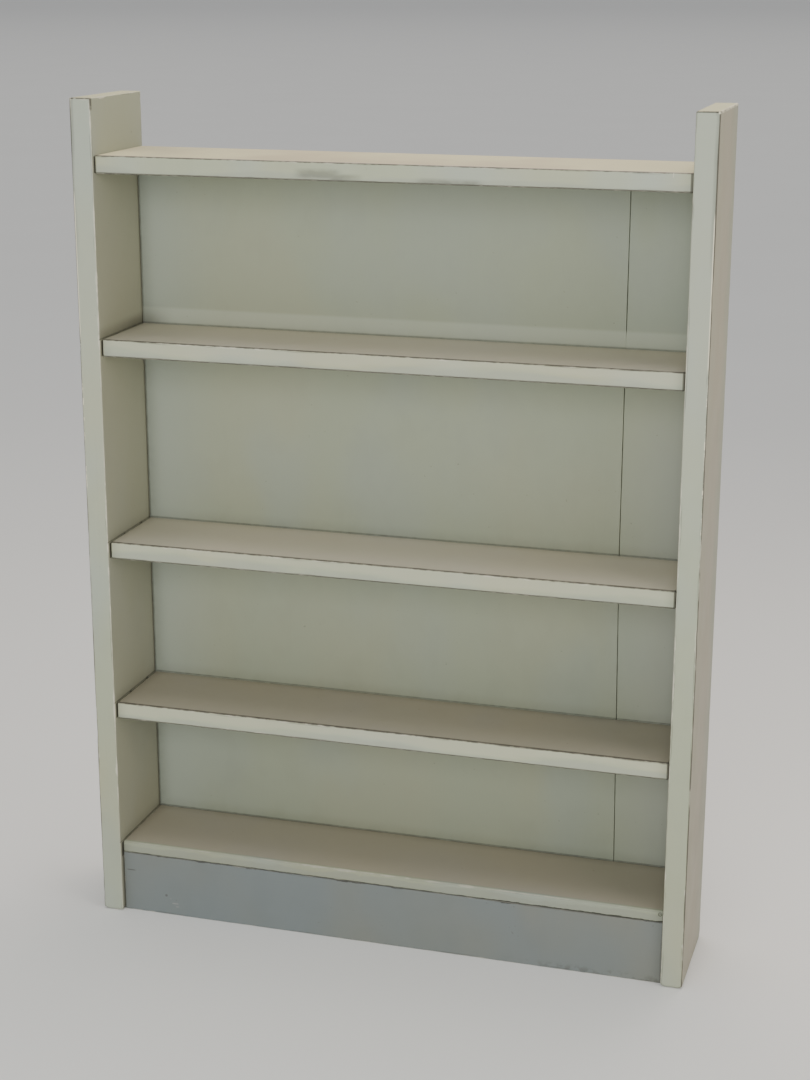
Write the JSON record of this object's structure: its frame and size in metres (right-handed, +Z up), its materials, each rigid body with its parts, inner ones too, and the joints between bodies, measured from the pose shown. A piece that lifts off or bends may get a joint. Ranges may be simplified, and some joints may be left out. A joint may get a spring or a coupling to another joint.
{
  "type": "bookcase with adjustable shelves",
  "caption": "Narrow painted wooden bookcase with loose shelves on pins, a fixed top and bottom shelf, a plinth and a boarded back; the sides rise above the top shelf.",
  "frame": {"origin": "on the floor under the middle of the case's box", "axes": "+Z up, open front faces -Y, +X to the right seen from the front"},
  "size_m": [0.745, 0.144, 1.02],
  "materials": {
    "side_paint": "brushed satin paint",
    "shelf_paint": "brushed satin paint",
    "plinth_paint": "brushed satin paint",
    "back_paint": "brushed satin paint",
    "pin_steel": "dull plated steel",
    "nail_steel": "bright drawn wire, slightly rusted",
    "dowel_wood": "bare beech",
    "bare_softwood": "bare pine"
  },
  "bodies": {
    "case": {"side_left": "side_paint", "side_right": "side_paint", "top_shelf": "shelf_paint", "bottom_shelf": "shelf_paint", "plinth_board": "plinth_paint", "back_panel_wide": "back_paint", "back_panel_narrow": "back_paint", "top_shelf_dowels": "dowel_wood", "bottom_shelf_dowels": "dowel_wood", "plinth_board_dowels": "dowel_wood", "back_nails": "nail_steel", "glue_block_left": "bare_softwood", "glue_block_middle": "bare_softwood", "glue_block_right": "bare_softwood"},
    "shelf_upper": {"shelf_upper": "shelf_paint"},
    "shelf_middle": {"shelf_middle": "shelf_paint"},
    "shelf_lower": {"shelf_lower": "shelf_paint"},
    "shelf_upper_pin_front_left": {"shelf_upper_pin_front_left": "pin_steel"},
    "shelf_upper_pin_front_right": {"shelf_upper_pin_front_right": "pin_steel"},
    "shelf_upper_pin_back_left": {"shelf_upper_pin_back_left": "pin_steel"},
    "shelf_upper_pin_back_right": {"shelf_upper_pin_back_right": "pin_steel"},
    "shelf_middle_pin_front_left": {"shelf_middle_pin_front_left": "pin_steel"},
    "shelf_middle_pin_front_right": {"shelf_middle_pin_front_right": "pin_steel"},
    "shelf_middle_pin_back_left": {"shelf_middle_pin_back_left": "pin_steel"},
    "shelf_middle_pin_back_right": {"shelf_middle_pin_back_right": "pin_steel"},
    "shelf_lower_pin_front_left": {"shelf_lower_pin_front_left": "pin_steel"},
    "shelf_lower_pin_front_right": {"shelf_lower_pin_front_right": "pin_steel"},
    "shelf_lower_pin_back_left": {"shelf_lower_pin_back_left": "pin_steel"},
    "shelf_lower_pin_back_right": {"shelf_lower_pin_back_right": "pin_steel"}
  },
  "joints": [
    {"name": "shelf_upper_lift", "type": "slide", "parent": "case", "child": "shelf_upper", "axis": [0, 0, 1], "range_m": [0, 0.1872]},
    {"name": "shelf_middle_lift", "type": "slide", "parent": "case", "child": "shelf_middle", "axis": [0, 0, 1], "range_m": [0, 0.208]},
    {"name": "shelf_lower_lift", "type": "slide", "parent": "case", "child": "shelf_lower", "axis": [0, 0, 1], "range_m": [0, 0.1664]},
    {"name": "shelf_upper_pin_front_left_pull", "type": "slide", "parent": "case", "child": "shelf_upper_pin_front_left", "axis": [1, 0, 0], "range_m": [0, 0.013]},
    {"name": "shelf_upper_pin_front_right_pull", "type": "slide", "parent": "case", "child": "shelf_upper_pin_front_right", "axis": [-1, 0, 0], "range_m": [0, 0.013]},
    {"name": "shelf_upper_pin_back_left_pull", "type": "slide", "parent": "case", "child": "shelf_upper_pin_back_left", "axis": [1, 0, 0], "range_m": [0, 0.013]},
    {"name": "shelf_upper_pin_back_right_pull", "type": "slide", "parent": "case", "child": "shelf_upper_pin_back_right", "axis": [-1, 0, 0], "range_m": [0, 0.013]},
    {"name": "shelf_middle_pin_front_left_pull", "type": "slide", "parent": "case", "child": "shelf_middle_pin_front_left", "axis": [1, 0, 0], "range_m": [0, 0.013]},
    {"name": "shelf_middle_pin_front_right_pull", "type": "slide", "parent": "case", "child": "shelf_middle_pin_front_right", "axis": [-1, 0, 0], "range_m": [0, 0.013]},
    {"name": "shelf_middle_pin_back_left_pull", "type": "slide", "parent": "case", "child": "shelf_middle_pin_back_left", "axis": [1, 0, 0], "range_m": [0, 0.013]},
    {"name": "shelf_middle_pin_back_right_pull", "type": "slide", "parent": "case", "child": "shelf_middle_pin_back_right", "axis": [-1, 0, 0], "range_m": [0, 0.013]},
    {"name": "shelf_lower_pin_front_left_pull", "type": "slide", "parent": "case", "child": "shelf_lower_pin_front_left", "axis": [1, 0, 0], "range_m": [0, 0.013]},
    {"name": "shelf_lower_pin_front_right_pull", "type": "slide", "parent": "case", "child": "shelf_lower_pin_front_right", "axis": [-1, 0, 0], "range_m": [0, 0.013]},
    {"name": "shelf_lower_pin_back_left_pull", "type": "slide", "parent": "case", "child": "shelf_lower_pin_back_left", "axis": [1, 0, 0], "range_m": [0, 0.013]},
    {"name": "shelf_lower_pin_back_right_pull", "type": "slide", "parent": "case", "child": "shelf_lower_pin_back_right", "axis": [-1, 0, 0], "range_m": [0, 0.013]}
  ]
}
